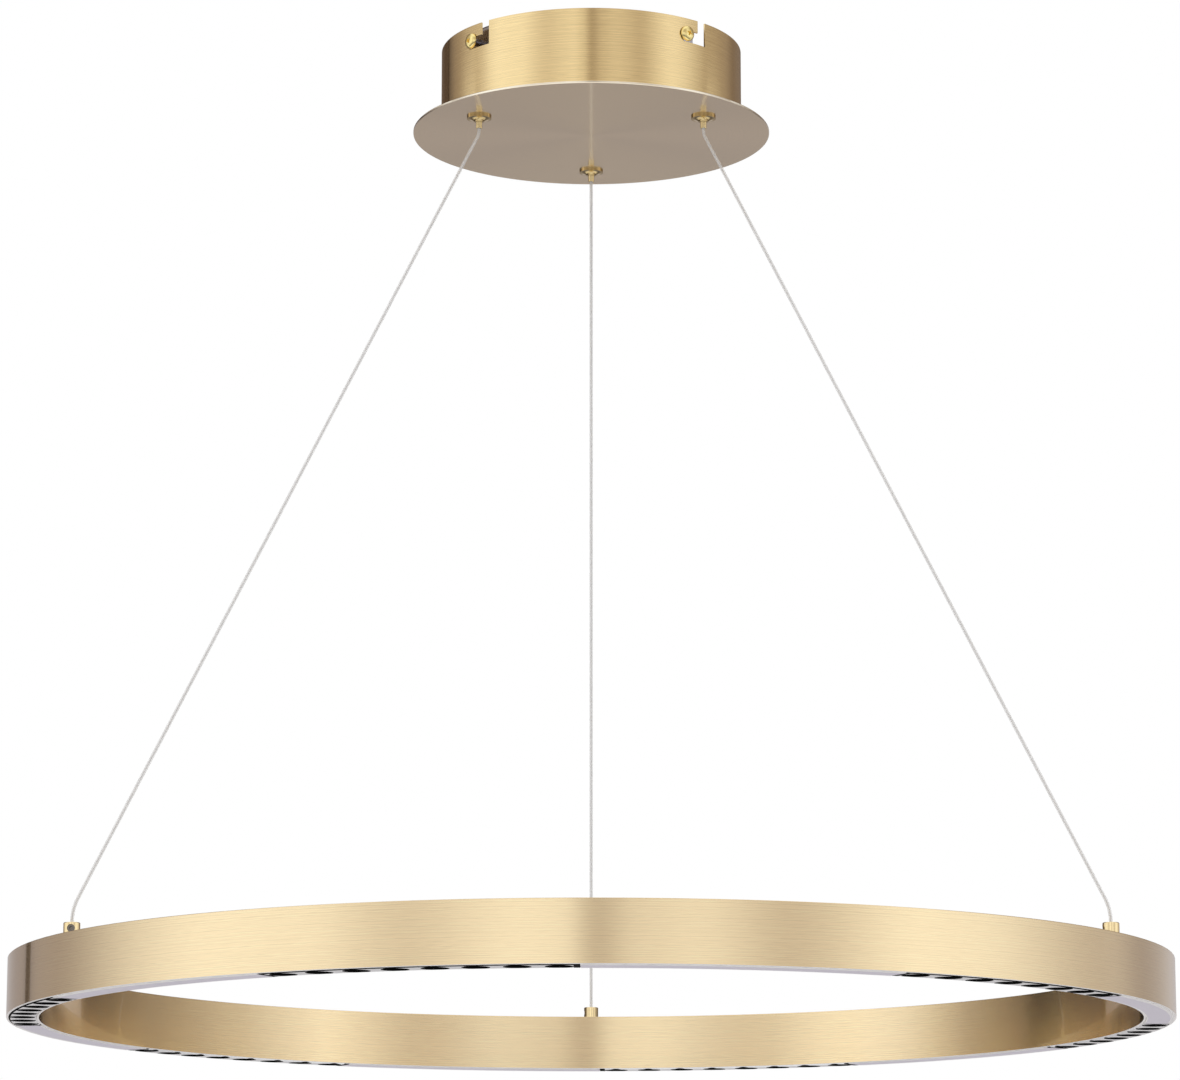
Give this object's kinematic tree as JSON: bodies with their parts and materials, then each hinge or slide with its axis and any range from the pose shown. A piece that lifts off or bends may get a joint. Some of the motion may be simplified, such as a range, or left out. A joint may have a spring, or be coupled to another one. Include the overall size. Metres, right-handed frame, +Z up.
{
  "type": "ring chandelier",
  "caption": "Suspended ring light: a brass-finish open-bottomed channel ring on thin clear cables from a round canopy, with cup louvres and plain diffusers underneath.",
  "frame": {"origin": "centre of the ceiling bracket's top face, in the plane of the ceiling and on the fixture's vertical axis", "axes": "+Z up into the ceiling, +X right and -Y towards the viewer of the picture"},
  "size_m": [0.8, 0.8, 0.6975],
  "materials": {
    "canopy_shell": "brushed, brass-coloured plating",
    "ring_shell": "brushed, brass-coloured anodising",
    "bracket_steel": "zinc plated",
    "brass_screws": "bright",
    "brass_fittings": "satin",
    "spring_steel": "bright wire",
    "zinc_steel": "zinc plated",
    "cable": "clear jacket over stranded wire",
    "louvre": "satin silver face, black cups",
    "diffuser": "opal",
    "led_strip": "white solder mask",
    "driver_shell": "moulded",
    "circuit": "circuit board",
    "terminal_plastic": "moulded",
    "lead": "insulated wire"
  },
  "bodies": {
    "ceiling_bracket": {"ceiling_bracket": "bracket_steel", "canopy_screws": "brass_screws", "earth_screw": "zinc_steel"},
    "canopy": {"canopy_drum": "canopy_shell", "canopy_plate": "canopy_shell", "driver_case": "driver_shell", "driver_lid": "driver_shell", "driver_circuit": "circuit", "driver_nuts": "zinc_steel", "terminal_block": "terminal_plastic", "terminal_screws": "zinc_steel", "output_connectors": "terminal_plastic", "supply_leads": "lead", "output_leads": "lead", "gripper_body_1": "brass_fittings", "gripper_body_2": "brass_fittings", "gripper_body_3": "brass_fittings", "gripper_caps": "zinc_steel", "gripper_nuts": "zinc_steel", "gripper_spring_1": "spring_steel", "gripper_spring_2": "spring_steel", "gripper_spring_3": "spring_steel", "cable_tail_1": "cable", "cable_tail_2": "cable", "cable_tail_3": "cable", "cable_1": "cable", "cable_2": "cable", "cable_3": "cable"},
    "plunger_1": {"gripper_plunger_1": "brass_fittings"},
    "plunger_2": {"gripper_plunger_2": "brass_fittings"},
    "plunger_3": {"gripper_plunger_3": "brass_fittings"},
    "ring": {"ring_profile": "ring_shell", "louvre_1": "louvre", "louvre_2": "louvre", "louvre_3": "louvre", "louvre_4": "louvre", "louvre_5": "louvre", "louvre_6": "louvre", "diffuser_1": "diffuser", "diffuser_2": "diffuser", "diffuser_3": "diffuser", "diffuser_4": "diffuser", "diffuser_5": "diffuser", "diffuser_6": "diffuser", "led_strip_1": "led_strip", "led_strip_2": "led_strip", "led_strip_3": "led_strip", "led_strip_4": "led_strip", "led_strip_5": "led_strip", "led_strip_6": "led_strip", "cable_post_1": "brass_fittings", "cable_post_2": "brass_fittings", "cable_post_3": "brass_fittings", "set_screws": "zinc_steel", "post_nuts": "zinc_steel", "cable_ends": "cable"}
  },
  "joints": [
    {"name": "canopy_twist", "type": "hinge", "parent": "ceiling_bracket", "child": "canopy", "pos_m": [0, 0, 0], "axis": [0, 0, 1], "range_deg": [-7.56, 0]},
    {"name": "ring_height", "type": "slide", "parent": "canopy", "child": "ring", "axis": [0, 0, 1], "range_m": [0, 0.4], "deforming": ["cable_1", "cable_2", "cable_3"]},
    {"name": "gripper_release_1", "type": "slide", "parent": "canopy", "child": "plunger_1", "axis": [0, 0, 1], "range_m": [0, 0.0018], "stiffness_N_per_m": 200, "springref_m": -0.003, "deforming": ["gripper_spring_1"]},
    {"name": "gripper_release_2", "type": "slide", "parent": "canopy", "child": "plunger_2", "axis": [0, 0, 1], "range_m": [0, 0.0018], "stiffness_N_per_m": 200, "springref_m": -0.003, "deforming": ["gripper_spring_2"]},
    {"name": "gripper_release_3", "type": "slide", "parent": "canopy", "child": "plunger_3", "axis": [0, 0, 1], "range_m": [0, 0.0018], "stiffness_N_per_m": 200, "springref_m": -0.003, "deforming": ["gripper_spring_3"]}
  ]
}
